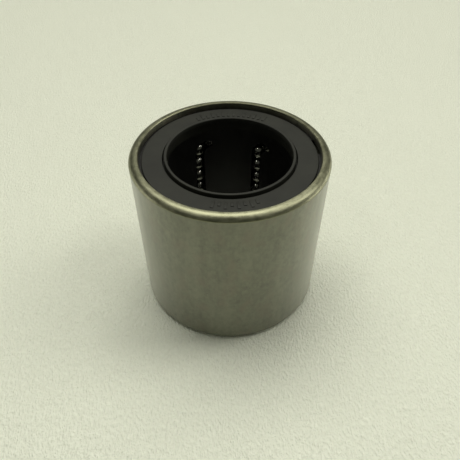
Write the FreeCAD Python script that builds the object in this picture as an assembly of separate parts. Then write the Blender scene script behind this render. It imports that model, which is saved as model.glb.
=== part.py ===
import FreeCAD, Part
import math
import os

# Sealed linear ball bearing for a round shaft, in millimetres.
# The bore axis is Z and the origin is half way along it.
# Six ball circuits run round the bore. In each one the balls go up a loaded track that is open to the
# shaft, over an upper turn, down a return track behind the cage wall, and back over a lower turn.
# The ball centres of one circuit stay in a plane that is square to the radius of its loaded track.

# Envelope and shaft
LENGTH = 29.0
OUTER_R = 16.0
SHAFT_CIRCLE_R = 10.03      # circle touched by the loaded balls and by both seal lips
CIRCUITS = 6

# Balls and their loops
BALL_R = 2.778 / 2
BALLS_PER_TRACK = 5
BALL_PITCH = 2.82           # spacing of the balls along a straight track
TURN_R = 1.99               # radius of the path of the ball centres round a turn
TURN_BALL_ANGLES = (45.0, 135.0)
# Resting shift of each circuit's balls along their loop, positive up the loaded track
REST_SHIFTS = (0.35, -1.25, -0.59, 0.90, -0.15, 0.65)

# Clearances
RACE_CLEARANCE = 0.01       # loaded ball to raceway
GROOVE_CLEARANCE = 0.11     # returning ball to sleeve groove
CHANNEL_CLEARANCE = 0.07    # ball to cage channel
CAGE_CLEARANCE = 0.04       # cage to raceway

# Sleeve
RACE_HALF = 7.4             # half length of the raceways
RELIEF_R = 13.62            # bore over the turns
SEAT_R = 14.44              # counterbore for a seal
SEAT_Z = 11.65              # height of the counterbore's floor
SEAT_CHAMFER = 0.12
RIM_ROUND_R = 1.3           # rounding from the flat end ring towards the outside
RIM_DROP = 0.8              # height of that rounding

# Retaining ring and its groove
RING_Z = 12.7
RING_THICKNESS = 0.55
RING_INNER_R = 14.1
RING_OUTER_R = 14.9
RING_GAP_DEG = 16.0
RING_GROOVE_R = 14.95
RING_GROOVE_PLAY = 0.05

# Cage
CAGE_BORE_R = 10.3
CAGE_EDGE = 0.15

# Seal
SEAL_FLANGE_R = 14.4
SEAL_FACE_R = 14.03
SEAL_FACE_Z = 13.55
SEAL_BORE_R = 10.3
SEAL_EDGE = 0.08
LIP_START_Z = 13.2
LIP_WALL_Z = 13.35
LIP_TOP_Z = 14.05
LIP_OUTER_R = 10.5
LIP_EDGE = 0.1
LIP_GROOVE_R = 10.76
LIP_GROOVE_Z = 12.6

# Raised moulding marks on a seal's face: plain bars in two arcs
MARK_HEIGHT = 0.1
MARK_INNER_R = 11.45
MARK_LENGTHS = (1.5, 0.95)
MARK_WIDTH = 0.46
MARK_STEP_DEG = 4.4
MARK_ARCS = ((271.5, 8), (87.0, 14))

# Sizes that follow from the ones above
HALF = LENGTH / 2
LOAD_R = SHAFT_CIRCLE_R + BALL_R
RACE_R = LOAD_R + BALL_R + RACE_CLEARANCE
GROOVE_R = BALL_R + GROOVE_CLEARANCE
CHANNEL_R = BALL_R + CHANNEL_CLEARANCE
CAGE_OUTER_R = RACE_R - CAGE_CLEARANCE
TRACK_HALF = BALLS_PER_TRACK * BALL_PITCH / 2
TRACK_GAP = 2 * TURN_R      # from a loaded track to its return track
CUT_DEPTH = 4.0             # reaches past the outside of the cage

ORIGIN = FreeCAD.Vector(0, 0, 0)
X_AXIS = FreeCAD.Vector(1, 0, 0)
Y_AXIS = FreeCAD.Vector(0, 1, 0)
Z_AXIS = FreeCAD.Vector(0, 0, 1)


def save(shape, name):
    shape.exportStep(os.path.join("parts", name + ".step"))


def section(points):
    """Closed outline in the XZ plane through (radius, z) points; three points in a group are an arc."""
    corners = [p if isinstance(p[0], tuple) else (p,) for p in points]
    edges = []
    for group, following in zip(corners, corners[1:] + corners[:1]):
        path = [FreeCAD.Vector(r, 0, z) for r, z in group]
        end = FreeCAD.Vector(following[0][0], 0, following[0][1])
        if len(path) == 3:
            edges.append(Part.Arc(*path).toShape())
        edges.append(Part.makeLine(path[-1], end))
    return Part.Face(Part.Wire(edges))


def turned(points):
    """Solid of revolution about the bore axis."""
    return section(points).revolve(ORIGIN, Z_AXIS, 360)


def circuit_placement(index):
    """Local X runs from the loaded track to the return track, Y up the bore and Z inwards."""
    first = FreeCAD.Placement(
        FreeCAD.Matrix(
            0, 0, -1, LOAD_R,
            -1, 0, 0, -TURN_R,
            0, 1, 0, 0,
            0, 0, 0, 1,
        )
    )
    turned_by = FreeCAD.Placement(ORIGIN, FreeCAD.Rotation(Z_AXIS, index * 360.0 / CIRCUITS))
    return turned_by.multiply(first)


def rim_corner(sign):
    """Rounded outer corner of one end: from the flat end ring down to the outside."""
    centre_z = HALF - RIM_ROUND_R
    reach = math.sqrt(RIM_ROUND_R ** 2 - (RIM_ROUND_R - RIM_DROP) ** 2)
    full_turn = math.acos((RIM_ROUND_R - RIM_DROP) / RIM_ROUND_R)
    centre_r = OUTER_R - reach
    middle_r = centre_r + RIM_ROUND_R * math.sin(full_turn / 2)
    middle_z = centre_z + RIM_ROUND_R * math.cos(full_turn / 2)
    arc = ((centre_r, HALF), (middle_r, middle_z), (OUTER_R, HALF - RIM_DROP))
    arc = tuple((r, sign * z) for r, z in arc)
    return arc if sign > 0 else arc[::-1]


def make_sleeve():
    """Hardened steel sleeve with six raceways, six return grooves and a seat at each end."""
    groove_low = RING_Z - RING_GROOVE_PLAY
    groove_high = RING_Z + RING_THICKNESS + RING_GROOVE_PLAY
    upper_bore = [
        (RACE_R, RACE_HALF),
        (RELIEF_R, RACE_HALF),
        (RELIEF_R, SEAT_Z),
        (SEAT_R, SEAT_Z),
        (SEAT_R, groove_low),
        (RING_GROOVE_R, groove_low),
        (RING_GROOVE_R, groove_high),
        (SEAT_R, groove_high),
        (SEAT_R, HALF - SEAT_CHAMFER),
        (SEAT_R + SEAT_CHAMFER, HALF),
    ]
    lower_bore = [(r, -z) for r, z in reversed(upper_bore)]
    sleeve = turned(upper_bore + [rim_corner(1), rim_corner(-1)] + lower_bore)
    groove_half = RACE_HALF + (RELIEF_R - RACE_R) / 2
    grooves = []
    for index in range(CIRCUITS):
        start = circuit_placement(index).multVec(FreeCAD.Vector(TURN_R, -groove_half, 0))
        grooves.append(Part.makeCylinder(GROOVE_R, 2 * groove_half, start, Z_AXIS))
    return sleeve.cut(grooves)


def channel_parts():
    """Ball channel round one loop in local axes: a half-round floor with straight walls outwards."""
    x = -TURN_R
    floor = Part.Arc(
        FreeCAD.Vector(x - CHANNEL_R, -TRACK_HALF, 0),
        FreeCAD.Vector(x, -TRACK_HALF, CHANNEL_R),
        FreeCAD.Vector(x + CHANNEL_R, -TRACK_HALF, 0),
    ).toShape()
    walls = Part.makePolygon([
        FreeCAD.Vector(x + CHANNEL_R, -TRACK_HALF, 0),
        FreeCAD.Vector(x + CHANNEL_R, -TRACK_HALF, -CUT_DEPTH),
        FreeCAD.Vector(x - CHANNEL_R, -TRACK_HALF, -CUT_DEPTH),
        FreeCAD.Vector(x - CHANNEL_R, -TRACK_HALF, 0),
    ])
    profile = Part.Face(Part.Wire([floor] + walls.Edges))
    track = profile.extrude(Y_AXIS * (2 * TRACK_HALF))
    upper = profile.translated(Y_AXIS * (2 * TRACK_HALF))
    upper_turn = upper.revolve(Y_AXIS * TRACK_HALF, Z_AXIS * -1, 180)
    lower_turn = profile.revolve(Y_AXIS * -TRACK_HALF, Z_AXIS, 180)
    return [track, track.translated(X_AXIS * TRACK_GAP), upper_turn, lower_turn]


def make_cage():
    """Moulded cage tube with a channel for each circuit; the loaded tracks break through to the bore."""
    cage = turned([
        (CAGE_BORE_R, -SEAT_Z),
        (CAGE_BORE_R, SEAT_Z),
        (CAGE_OUTER_R - CAGE_EDGE, SEAT_Z),
        (CAGE_OUTER_R, SEAT_Z - CAGE_EDGE),
        (CAGE_OUTER_R, CAGE_EDGE - SEAT_Z),
        (CAGE_OUTER_R - CAGE_EDGE, -SEAT_Z),
    ])
    channels = []
    for index in range(CIRCUITS):
        for piece in channel_parts():
            channels.append(piece.transformed(circuit_placement(index).Matrix))
    return cage.cut(channels)


def make_seal():
    """End seal with a stepped rim, a lip round the shaft and raised bars on its face."""
    seal = turned([
        (SEAL_BORE_R, SEAT_Z),
        (SEAL_BORE_R, LIP_START_Z),
        (SHAFT_CIRCLE_R, LIP_WALL_Z),
        (SHAFT_CIRCLE_R, LIP_TOP_Z - LIP_EDGE),
        (SHAFT_CIRCLE_R + LIP_EDGE, LIP_TOP_Z),
        (LIP_OUTER_R - LIP_EDGE, LIP_TOP_Z),
        (LIP_OUTER_R, LIP_TOP_Z - LIP_EDGE),
        (LIP_OUTER_R, LIP_GROOVE_Z),
        (LIP_GROOVE_R, LIP_GROOVE_Z),
        (LIP_GROOVE_R, SEAL_FACE_Z - SEAL_EDGE),
        (LIP_GROOVE_R + SEAL_EDGE, SEAL_FACE_Z),
        (SEAL_FACE_R - SEAL_EDGE, SEAL_FACE_Z),
        (SEAL_FACE_R, SEAL_FACE_Z - SEAL_EDGE),
        (SEAL_FACE_R, RING_Z),
        (SEAL_FLANGE_R, RING_Z),
        (SEAL_FLANGE_R, SEAT_Z),
    ])
    bars = []
    for centre_deg, count in MARK_ARCS:
        for index in range(count):
            length = MARK_LENGTHS[index % len(MARK_LENGTHS)]
            angle = centre_deg + (index - (count - 1) / 2) * MARK_STEP_DEG
            corner = FreeCAD.Vector(MARK_INNER_R, -MARK_WIDTH / 2, SEAL_FACE_Z - MARK_HEIGHT)
            bar = Part.makeBox(length, MARK_WIDTH, 2 * MARK_HEIGHT, corner)
            bar.rotate(ORIGIN, Z_AXIS, angle)
            bars.append(bar)
    return seal.fuse(bars)


def make_ring():
    """Split retaining ring that holds a seal in its seat."""
    ring = turned([
        (RING_INNER_R, RING_Z),
        (RING_OUTER_R, RING_Z),
        (RING_OUTER_R, RING_Z + RING_THICKNESS),
        (RING_INNER_R, RING_Z + RING_THICKNESS),
    ])
    gap = Part.makeCylinder(OUTER_R, HALF, ORIGIN, Z_AXIS, RING_GAP_DEG)
    return ring.cut(gap)


def lower_end(shape):
    """The same piece fitted at the lower end."""
    return shape.rotated(ORIGIN, X_AXIS, 180)


def balls(index, centres):
    """Balls of one circuit at (across, up) points of its loop."""
    placement = circuit_placement(index)
    spheres = []
    for across, up in centres:
        centre = placement.multVec(FreeCAD.Vector(across, up, 0))
        spheres.append(Part.makeSphere(BALL_R, centre))
    return Part.makeCompound(spheres)


def turn_centres(index):
    """Points of the balls on the upper turn; the lower turn is the same half a circle further on."""
    shift_deg = REST_SHIFTS[index] / BALL_PITCH * 90.0
    centres = []
    for angle in TURN_BALL_ANGLES:
        turn = math.radians(angle + shift_deg)
        centres.append((-TURN_R * math.cos(turn), TRACK_HALF + TURN_R * math.sin(turn)))
    return centres


os.makedirs("parts", exist_ok=True)

save(make_sleeve(), "outer_sleeve")
save(make_cage(), "ball_cage")
upper_seal = make_seal()
save(upper_seal, "upper_seal")
save(lower_end(upper_seal), "lower_seal")
upper_ring = make_ring()
save(upper_ring, "upper_retaining_ring")
save(lower_end(upper_ring), "lower_retaining_ring")

steps = [(k - (BALLS_PER_TRACK - 1) / 2) * BALL_PITCH for k in range(BALLS_PER_TRACK)]
for circuit in range(CIRCUITS):
    number = str(circuit + 1)
    shift = REST_SHIFTS[circuit]
    up_turn = turn_centres(circuit)
    save(balls(circuit, [(-TURN_R, step + shift) for step in steps]), "load_balls_" + number)
    save(balls(circuit, [(TURN_R, step - shift) for step in steps]), "return_balls_" + number)
    save(balls(circuit, up_turn), "upper_turn_balls_" + number)
    save(balls(circuit, [(-x, -y) for x, y in up_turn]), "lower_turn_balls_" + number)
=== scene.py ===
import math

import bmesh
import bpy
from mathutils import Matrix, Vector


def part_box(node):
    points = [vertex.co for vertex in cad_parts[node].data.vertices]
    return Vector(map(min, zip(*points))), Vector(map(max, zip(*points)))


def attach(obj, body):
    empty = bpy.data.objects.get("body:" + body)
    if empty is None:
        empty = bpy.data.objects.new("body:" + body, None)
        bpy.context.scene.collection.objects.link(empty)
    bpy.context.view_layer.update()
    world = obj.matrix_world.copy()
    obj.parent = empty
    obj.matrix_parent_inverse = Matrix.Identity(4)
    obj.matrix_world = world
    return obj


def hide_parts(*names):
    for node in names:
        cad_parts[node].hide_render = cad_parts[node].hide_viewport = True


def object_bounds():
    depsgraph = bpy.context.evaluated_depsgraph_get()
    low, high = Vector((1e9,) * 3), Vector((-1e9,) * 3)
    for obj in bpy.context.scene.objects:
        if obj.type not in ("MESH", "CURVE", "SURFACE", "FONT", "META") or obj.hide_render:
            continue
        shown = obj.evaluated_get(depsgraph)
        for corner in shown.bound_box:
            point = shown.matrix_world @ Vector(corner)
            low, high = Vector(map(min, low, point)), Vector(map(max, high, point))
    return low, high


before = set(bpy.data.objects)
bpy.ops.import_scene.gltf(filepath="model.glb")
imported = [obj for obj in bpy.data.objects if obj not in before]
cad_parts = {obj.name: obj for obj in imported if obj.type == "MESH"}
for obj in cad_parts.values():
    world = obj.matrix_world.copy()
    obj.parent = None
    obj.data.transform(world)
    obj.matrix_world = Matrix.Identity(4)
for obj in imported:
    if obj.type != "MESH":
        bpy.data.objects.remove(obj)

# A sealed linear ball bearing standing on end on a pale table, lit softly from above.
# Lengths are in metres; MM turns millimetres into metres.

CAD_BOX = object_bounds()
MM = 0.001

# Camera
CAMERA_BACK = 61.16 * MM        # from the bearing's axis, level
CAMERA_RISE = 42.74 * MM        # above the top rim
CAMERA_TURN = math.radians(-2.2)
CAMERA_DOWN = math.radians(44.73)
LENS_MM = 36.485
SENSOR_MM = 36.0

# Sleeve
RIM_INNER_R = 14.44 * MM
RIM_CHAMFER = 0.12 * MM
RIM_ROUND_R = 1.3 * MM
RIM_DROP = 0.8 * MM
RIM_STEPS = 12
RING_GROOVE_R = 14.95 * MM
RING_GROOVE_Z = (12.65 * MM, 13.3 * MM)
SLEEVE_EDGE = 0.05 * MM         # small rounding of the edges that show
SEAT_Z = 11.65 * MM
RELIEF_R = 13.62 * MM
RACE_R = 12.818 * MM
RACE_HALF = 7.4 * MM
RACE_MARGIN = 0.01 * MM         # a point this near the raceway counts as on it
BALL_GROOVE_R = 1.499 * MM
BALL_GROOVE_OUT = 11.419 * MM   # a return groove's axis, along its circuit's radius
BALL_GROOVE_SIDE = -3.98 * MM   # and square to it
CIRCUITS = 6

# Seals
SEAL_BORE_R = 10.3 * MM
SEAL_FACE_R = 14.03 * MM
SEAL_FACE_Z = 13.55 * MM
SEAL_FLANGE_R = 14.4 * MM
SEAL_STEP_Z = 12.7 * MM
SEAL_EDGE = 0.05 * MM
LIP_WALL_Z = 13.35 * MM
LIP_START_Z = 13.2 * MM
LIP_R = 10.03 * MM
LIP_OUTER_R = 10.5 * MM
LIP_EDGES = (0.12 * MM, 0.14 * MM)
LIP_GROOVE_R = 10.76 * MM
LIP_GROOVE_Z = 12.6 * MM
LIP_GROOVE_EDGE = 0.08 * MM
FACE_EDGES = (0.09 * MM, 0.12 * MM)
MARK_INNER_R = 11.45 * MM
MARK_LENGTHS = (1.5 * MM, 0.95 * MM)
MARK_WIDTH = 0.46 * MM
MARK_HEIGHT = 0.1 * MM
MARK_BEVEL = 0.03 * MM
MARK_STEP = math.radians(4.4)
MARK_ARCS = ((math.radians(271.5), 8), (math.radians(87.0), 14))

# Meshes
SEGMENTS = 288
FILLET_STEPS = 5
SHARP_ANGLE = math.radians(40)

# Stage: each lamp is (name, place, size, watts)
TABLE_SIZE = 1.1
LAMP_COLOUR = (1.0, 0.985, 0.92)
LAMPS = (
    ("ceiling", (-0.045, 0.185, 0.58), (0.55, 0.38), 2.93),
    ("ceiling_right", (0.5, 0.1, 0.6), (0.25, 0.4), 1.5),
    ("wall_back", (0.0, 0.9, 0.35), (1.2, 0.4), 0.3),
    ("wall_right", (0.6, 0.1, 0.05), (0.5, 0.1), 0.7),
    ("wall_left", (-0.6, 0.1, 0.05), (0.5, 0.1), 0.42),
    ("lamp_left", (-0.35, -0.2, 0.6), (0.05, 0.05), 0.15),
    ("lamp_right", (0.35, -0.2, 0.6), (0.05, 0.05), 0.15),
)
ROOM_COLOUR = (0.97, 1.0, 0.84)
ROOM_LIGHT = 0.08
BACKDROP = 0.72


# ---------------------------------------------------------------- meshes

def filleted(corners):
    """Outline in (radius, z) with each corner (r, z, fillet) rounded off."""
    outline = []
    for index, (r, z, fillet) in enumerate(corners):
        here = Vector((r, z))
        if not fillet:
            outline.append(here)
            continue
        before = (Vector(corners[index - 1][:2]) - here).normalized()
        after = (Vector(corners[(index + 1) % len(corners)][:2]) - here).normalized()
        half = before.angle(after) / 2
        reach = fillet / math.tan(half)
        centre = here + (before + after).normalized() * fillet / math.sin(half)
        start = here + before * reach - centre
        sweep = start.angle_signed(here + after * reach - centre)
        for step in range(FILLET_STEPS + 1):
            turn = Matrix.Rotation(-sweep * step / FILLET_STEPS, 2)
            outline.append(centre + turn @ start)
    return outline


def lathe(outline, radius_at=None):
    """Mesh turned about Z from a closed (radius, z) outline; radius_at(r, z, angle) may widen it."""
    shell = bmesh.new()
    columns = []
    for segment in range(SEGMENTS):
        angle = 2 * math.pi * segment / SEGMENTS
        column = []
        for r, z in outline:
            radius = radius_at(r, z, angle) if radius_at else r
            column.append(shell.verts.new((radius * math.cos(angle), radius * math.sin(angle), z)))
        columns.append(column)
    for column, beside in zip(columns, columns[1:] + columns[:1]):
        for row in range(len(outline)):
            above = (row + 1) % len(outline)
            shell.faces.new((column[row], beside[row], beside[above], column[above]))
    bmesh.ops.recalc_face_normals(shell, faces=shell.faces)
    return shell


def piece(name, shell, materials, node):
    """Finished object from a bmesh, riding on the housing in place of a CAD node."""
    mesh = bpy.data.meshes.new(name)
    shell.to_mesh(mesh)
    shell.free()
    mesh.shade_smooth()
    mesh.set_sharp_from_angle(angle=SHARP_ANGLE)
    for material in materials:
        mesh.materials.append(material)
    obj = bpy.data.objects.new(name, mesh)
    bpy.context.scene.collection.objects.link(obj)
    normals = obj.modifiers.new("even_normals", "WEIGHTED_NORMAL")
    normals.keep_sharp = True
    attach(obj, "housing")
    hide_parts(node)


# ---------------------------------------------------------------- node helpers

def new_material(name, **uniform):
    """Node material with some of its Principled shader's sockets set: (material, tree, shader)."""
    material = bpy.data.materials.new(name)
    material.use_nodes = True
    tree = material.node_tree
    shader = tree.nodes["Principled BSDF"]
    for key, value in uniform.items():
        shader.inputs[key.replace("_", " ")].default_value = value
    return material, tree, shader


def feed(tree, socket, value):
    """Links another node's output to a socket, or sets the socket to a number."""
    if isinstance(value, (int, float)):
        socket.default_value = value
    else:
        tree.links.new(value, socket)


def noise(tree, scale, detail, roughness=0.5):
    """Noise in object coordinates; scale is in cycles per metre, for all axes or for each."""
    coordinates = tree.nodes.new("ShaderNodeTexCoord")
    mapping = tree.nodes.new("ShaderNodeMapping")
    mapping.inputs["Scale"].default_value = scale if isinstance(scale, tuple) else (scale,) * 3
    tree.links.new(coordinates.outputs["Object"], mapping.inputs["Vector"])
    node = tree.nodes.new("ShaderNodeTexNoise")
    for key, value in (("Scale", 1.0), ("Detail", detail), ("Roughness", roughness)):
        node.inputs[key].default_value = value
    tree.links.new(mapping.outputs["Vector"], node.inputs["Vector"])
    return node.outputs["Fac"]


def spread(tree, value, low, high, out_low, out_high):
    """Value from low..high stretched to out_low..out_high and clamped."""
    node = tree.nodes.new("ShaderNodeMapRange")
    limits = (("From Min", low), ("From Max", high), ("To Min", out_low), ("To Max", out_high))
    for key, limit in limits:
        node.inputs[key].default_value = limit
    tree.links.new(value, node.inputs["Value"])
    return node.outputs["Result"]


def calculate(tree, operation, first, second):
    node = tree.nodes.new("ShaderNodeMath")
    node.operation = operation
    feed(tree, node.inputs[0], first)
    feed(tree, node.inputs[1], second)
    return node.outputs[0]


def blended(tree, *parts):
    """Sum of (value, share) pairs."""
    shares = [calculate(tree, "MULTIPLY", value, share) for value, share in parts]
    total = shares[0]
    for share in shares[1:]:
        total = calculate(tree, "ADD", total, share)
    return total


def mix_colour(tree, factor, first, second):
    """Colour between two, each a tuple or another node's output."""
    node = tree.nodes.new("ShaderNodeMix")
    node.data_type = "RGBA"
    tree.links.new(factor, node.inputs["Factor"])
    sockets = [socket for socket in node.inputs if socket.type == "RGBA"]
    for socket, colour in zip(sockets, (first, second)):
        if isinstance(colour, tuple):
            socket.default_value = (*colour, 1.0)
        else:
            tree.links.new(colour, socket)
    return [socket for socket in node.outputs if socket.type == "RGBA"][0]


def bump(tree, shader, height, distance, strength):
    node = tree.nodes.new("ShaderNodeBump")
    node.inputs["Strength"].default_value = strength
    node.inputs["Distance"].default_value = distance
    tree.links.new(height, node.inputs["Height"])
    tree.links.new(node.outputs["Normal"], shader.inputs["Normal"])


# ---------------------------------------------------------------- materials

def ground_steel():
    """Olive-grey ground steel with faint streaks, soft mottling, rusty tints and small stains."""
    material, tree, shader = new_material(
        "ground_steel", Metallic=1.0, Anisotropic=0.8, Anisotropic_Rotation=0.25,
        Coat_Weight=1.0, Coat_Roughness=0.25,
    )
    round_axis = tree.nodes.new("ShaderNodeTangent")
    round_axis.direction_type = "RADIAL"
    round_axis.axis = "Z"
    tree.links.new(round_axis.outputs["Tangent"], shader.inputs["Tangent"])
    streaks = noise(tree, (500, 500, 50), 4.0, 0.6)
    clouds = noise(tree, (170, 170, 120), 4.0, 0.6)
    mottle = noise(tree, (1300, 1300, 900), 3.0, 0.65)
    grain = noise(tree, (3000, 3000, 2400), 3.0, 0.6)
    specks = noise(tree, 760, 2.0)
    rust = noise(tree, (420, 420, 300), 3.0, 0.6)
    mixed = blended(tree, (streaks, 0.3), (clouds, 0.3), (mottle, 0.4))
    cover = spread(tree, mixed, 0.38, 0.62, 0.0, 1.0)
    tone = mix_colour(tree, cover, (0.132, 0.135, 0.096), (0.232, 0.236, 0.170))
    rusty = spread(tree, rust, 0.50, 0.68, 0.0, 0.55)
    warm = mix_colour(tree, rusty, tone, (0.195, 0.170, 0.125))
    spotted = spread(tree, specks, 0.68, 0.76, 0.0, 0.45)
    stained = mix_colour(tree, spotted, warm, (0.11, 0.105, 0.080))
    tree.links.new(stained, shader.inputs["Base Color"])
    broad = spread(tree, clouds, 0.3, 0.7, 0.35, 0.42)
    fine = spread(tree, mottle, 0.3, 0.7, -0.03, 0.03)
    tree.links.new(calculate(tree, "ADD", broad, fine), shader.inputs["Roughness"])
    bump(tree, shader, grain, 0.004 * MM, 0.3)
    return material


def satin_steel():
    """The same steel left satin on the rims, with short scuffs round and across them."""
    material, tree, shader = new_material("satin_steel", Metallic=1.0)
    scuffs = noise(tree, (1100, 1100, 3000), 3.0, 0.65)
    clouds = noise(tree, 220, 3.0, 0.6)
    mixed = blended(tree, (scuffs, 0.6), (clouds, 0.4))
    cover = spread(tree, mixed, 0.38, 0.62, 0.0, 1.0)
    tone = mix_colour(tree, cover, (0.185, 0.186, 0.118), (0.292, 0.294, 0.196))
    tree.links.new(tone, shader.inputs["Base Color"])
    tree.links.new(spread(tree, scuffs, 0.3, 0.7, 0.34, 0.46), shader.inputs["Roughness"])
    bump(tree, shader, scuffs, 0.006 * MM, 0.4)
    return material


def seal_rubber():
    """Charcoal moulded rubber with a fine matt grain."""
    material, tree, shader = new_material("seal_rubber", Roughness=0.62, Specular_IOR_Level=0.35)
    grain = noise(tree, 5200, 3.0, 0.6)
    clouds = noise(tree, 260, 3.0)
    cover = spread(tree, clouds, 0.35, 0.65, 0.0, 1.0)
    tone = mix_colour(tree, cover, (0.0120, 0.0128, 0.0082), (0.0185, 0.0195, 0.0130))
    tree.links.new(tone, shader.inputs["Base Color"])
    bump(tree, shader, grain, 0.01 * MM, 0.35)
    return material


def cage_plastic():
    """Black moulded plastic, slightly glossy."""
    material, tree, shader = new_material("cage_plastic")
    clouds = noise(tree, 400, 3.0)
    grain = noise(tree, 3000, 2.0)
    tone = mix_colour(tree, clouds, (0.004, 0.004, 0.0035), (0.007, 0.007, 0.006))
    tree.links.new(tone, shader.inputs["Base Color"])
    tree.links.new(spread(tree, clouds, 0.3, 0.7, 0.36, 0.46), shader.inputs["Roughness"])
    bump(tree, shader, grain, 0.006 * MM, 0.2)
    return material


def ball_steel():
    """Polished bearing steel with a faint film of oil."""
    material, tree, shader = new_material("ball_steel", Metallic=1.0)
    film = noise(tree, 900, 3.0)
    tone = mix_colour(tree, film, (0.30, 0.30, 0.27), (0.40, 0.40, 0.36))
    tree.links.new(tone, shader.inputs["Base Color"])
    tree.links.new(spread(tree, film, 0.3, 0.7, 0.05, 0.10), shader.inputs["Roughness"])
    return material


def ring_steel():
    """Phosphated spring steel, nearly black."""
    material, tree, shader = new_material("ring_steel", Metallic=0.6, Roughness=0.55)
    clouds = noise(tree, 700, 4.0, 0.6)
    tone = mix_colour(tree, clouds, (0.016, 0.016, 0.015), (0.035, 0.035, 0.032))
    tree.links.new(tone, shader.inputs["Base Color"])
    bump(tree, shader, clouds, 0.01 * MM, 0.3)
    return material


def table_paper():
    """Pale, faintly green table top, embossed with a fine leathery grain, with painted shade darkening
    the grain's valleys, and slightly shiny.
    """
    material, tree, shader = new_material("table_paper", Roughness=0.36, Specular_IOR_Level=0.5)
    grain = noise(tree, (2500, 1300, 2000), 2.0, 0.6)
    tooth = noise(tree, (5200, 3600, 3600), 2.0, 0.6)
    clouds = noise(tree, 14, 2.0)
    relief = calculate(tree, "ADD", grain, calculate(tree, "MULTIPLY", tooth, 0.4))
    tone = mix_colour(tree, clouds, (0.865, 0.895, 0.75), (0.895, 0.925, 0.78))
    # Painted shade: the base colour is darkened in the low parts of the relief, as if shade fell in the
    # grain's valleys.
    valleys = spread(tree, relief, 0.55, 0.85, 0.22, 0.0)
    painted_valley_shade = mix_colour(tree, valleys, tone, (0.64, 0.67, 0.54))
    tree.links.new(painted_valley_shade, shader.inputs["Base Color"])
    bump(tree, shader, relief, 0.42 * MM, 1.0)
    return material


# ---------------------------------------------------------------- pieces

def groove_radius(angle):
    """Distance from the axis to the wall of the nearest return groove, or 0 off the grooves."""
    centre = math.hypot(BALL_GROOVE_OUT, BALL_GROOVE_SIDE)
    first = math.atan2(BALL_GROOVE_SIDE, BALL_GROOVE_OUT)
    step = 2 * math.pi / CIRCUITS
    off = (angle - first + step / 2) % step - step / 2
    inside = BALL_GROOVE_R ** 2 - (centre * math.sin(off)) ** 2
    return centre * math.cos(off) + math.sqrt(inside) if inside > 0 else 0.0


def sleeve_radius(r, z, angle):
    """Raceway wall, widened at the return grooves."""
    on_race = r < RACE_R + RACE_MARGIN and abs(z) <= RACE_HALF + RACE_MARGIN
    return max(r, groove_radius(angle)) if on_race else r


def rim_rounding(outer, top):
    """Arc from the rim's narrow flat down to the outside, as corners with no fillet."""
    reach = math.sqrt(RIM_ROUND_R ** 2 - (RIM_ROUND_R - RIM_DROP) ** 2)
    full = math.acos((RIM_ROUND_R - RIM_DROP) / RIM_ROUND_R)
    corners = []
    for step in range(RIM_STEPS):
        angle = full * step / RIM_STEPS
        r = outer - reach + RIM_ROUND_R * math.sin(angle)
        z = top - RIM_ROUND_R + RIM_ROUND_R * math.cos(angle)
        corners.append((r, z, 0))
    corners.append((outer, top - RIM_DROP, 0))
    return corners


def make_sleeve(ground, satin):
    """Steel sleeve with its raceways, return grooves and seats; the two rims are satin."""
    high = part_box("outer_sleeve")[1]
    outer, top = high.x, high.z
    groove_low, groove_high = RING_GROOVE_Z
    upper = [
        (RACE_R, 0, 0),
        (RACE_R, RACE_HALF, 0),
        (RELIEF_R, RACE_HALF, 0),
        (RELIEF_R, SEAT_Z, 0),
        (RIM_INNER_R, SEAT_Z, 0),
        (RIM_INNER_R, groove_low, 0),
        (RING_GROOVE_R, groove_low, 0),
        (RING_GROOVE_R, groove_high, 0),
        (RIM_INNER_R, groove_high, SLEEVE_EDGE),
        (RIM_INNER_R, top - RIM_CHAMFER, SLEEVE_EDGE),
        (RIM_INNER_R + RIM_CHAMFER, top, SLEEVE_EDGE),
    ] + rim_rounding(outer, top)
    lower = [(r, -z, fillet) for r, z, fillet in reversed(upper[1:])]
    shell = lathe(filleted(upper + lower), sleeve_radius)
    for face in shell.faces:
        middle = face.calc_center_median()
        on_rim = abs(middle.z) > top - RIM_DROP and middle.xy.length > RIM_INNER_R
        face.material_index = int(on_rim)
    piece("sleeve", shell, [ground, satin], "outer_sleeve")


def seal_outline(top):
    """Closed outline of the upper seal in (radius, z), from its bore over the lip to the flange."""
    return filleted([
        (SEAL_BORE_R, SEAT_Z, 0),
        (SEAL_BORE_R, LIP_START_Z, SEAL_EDGE),
        (LIP_R, LIP_WALL_Z, SEAL_EDGE),
        (LIP_R, top, LIP_EDGES[0]),
        (LIP_OUTER_R, top, LIP_EDGES[1]),
        (LIP_OUTER_R, LIP_GROOVE_Z, LIP_GROOVE_EDGE),
        (LIP_GROOVE_R, LIP_GROOVE_Z, LIP_GROOVE_EDGE),
        (LIP_GROOVE_R, SEAL_FACE_Z, FACE_EDGES[0]),
        (SEAL_FACE_R, SEAL_FACE_Z, FACE_EDGES[1]),
        (SEAL_FACE_R, SEAL_STEP_Z, SEAL_EDGE),
        (SEAL_FLANGE_R, SEAL_STEP_Z, SEAL_EDGE),
        (SEAL_FLANGE_R, SEAT_Z, SEAL_EDGE),
    ])


def add_marks(shell):
    """Plain raised bars in two arcs on the seal's face."""
    for centre, count in MARK_ARCS:
        for index in range(count):
            length = MARK_LENGTHS[index % len(MARK_LENGTHS)]
            turn = Matrix.Rotation(centre + (index - (count - 1) / 2) * MARK_STEP, 4, "Z")
            place = Matrix.Translation((MARK_INNER_R + length / 2, 0, SEAL_FACE_Z))
            size = Matrix.Diagonal((length, MARK_WIDTH, 2 * MARK_HEIGHT, 1.0))
            bar = bmesh.ops.create_cube(shell, size=1.0, matrix=turn @ place @ size)
            edges = list({edge for vert in bar["verts"] for edge in vert.link_edges})
            bmesh.ops.bevel(shell, geom=edges, offset=MARK_BEVEL, segments=2, profile=0.5, affect="EDGES")


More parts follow.
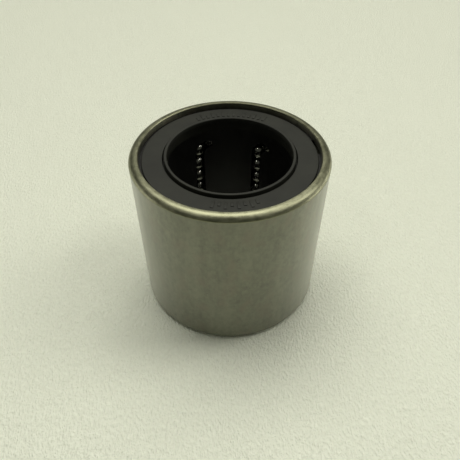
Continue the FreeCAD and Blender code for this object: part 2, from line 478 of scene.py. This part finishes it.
def make_seal(node, material, turn):
    """One seal; turn takes the upper seal's shape to this end."""
    shell = lathe(seal_outline(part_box("upper_seal")[1].z))
    add_marks(shell)
    bmesh.ops.transform(shell, matrix=turn, verts=shell.verts)
    piece(node + "_moulding", shell, [material], node)


def finish_nodes(material, *prefixes):
    """Gives the CAD nodes whose names start this way their material."""
    for name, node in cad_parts.items():
        if name.startswith(prefixes):
            node.material_slots[0].material = material


# ---------------------------------------------------------------- stage

def make_table(material):
    bpy.ops.mesh.primitive_plane_add(size=TABLE_SIZE, location=(0, 0, CAD_BOX[0].z))
    table = bpy.context.object
    table.name = "table"
    table.data.materials.append(material)


def make_lamp(name, location, size, power):
    """Rectangular soft light aimed at the bearing, not seen itself."""
    data = bpy.data.lights.new(name, "AREA")
    data.shape = "RECTANGLE"
    data.size, data.size_y = size
    data.energy = power
    data.color = LAMP_COLOUR
    light = bpy.data.objects.new(name, data)
    light.location = location
    light.visible_camera = False
    light.rotation_euler = (-Vector(location)).to_track_quat("-Z", "Y").to_euler()
    bpy.context.scene.collection.objects.link(light)


def make_world():
    """Dim light from all round; the backdrop behind the table is paler where the camera sees it."""
    world = bpy.data.worlds.new("room")
    world.use_nodes = True
    tree = world.node_tree
    background = tree.nodes["Background"]
    background.inputs["Color"].default_value = (*ROOM_COLOUR, 1)
    path = tree.nodes.new("ShaderNodeLightPath")
    seen = spread(tree, path.outputs["Is Camera Ray"], 0.0, 1.0, ROOM_LIGHT, BACKDROP)
    tree.links.new(seen, background.inputs["Strength"])
    bpy.context.scene.world = world


def make_camera():
    data = bpy.data.cameras.new("camera")
    data.lens = LENS_MM
    data.sensor_width = SENSOR_MM
    data.clip_start = 1 * MM
    camera = bpy.data.objects.new("camera", data)
    back = Vector((math.sin(CAMERA_TURN), -math.cos(CAMERA_TURN), 0)) * CAMERA_BACK
    camera.location = back + Vector((0, 0, CAD_BOX[1].z + CAMERA_RISE))
    camera.rotation_euler = (math.pi / 2 - CAMERA_DOWN, 0, CAMERA_TURN)
    bpy.context.scene.collection.objects.link(camera)
    bpy.context.scene.camera = camera


make_camera()
make_world()
for lamp in LAMPS:
    make_lamp(*lamp)
make_table(table_paper())

rubber = seal_rubber()
make_sleeve(ground_steel(), satin_steel())
make_seal("upper_seal", rubber, Matrix.Identity(4))
make_seal("lower_seal", rubber, Matrix.Rotation(math.pi, 4, "X"))
finish_nodes(cage_plastic(), "ball_cage")
finish_nodes(ring_steel(), "upper_retaining_ring", "lower_retaining_ring")
finish_nodes(ball_steel(), "load_balls", "return_balls", "upper_turn_balls", "lower_turn_balls")

bpy.context.scene.view_settings.view_transform = "Standard"
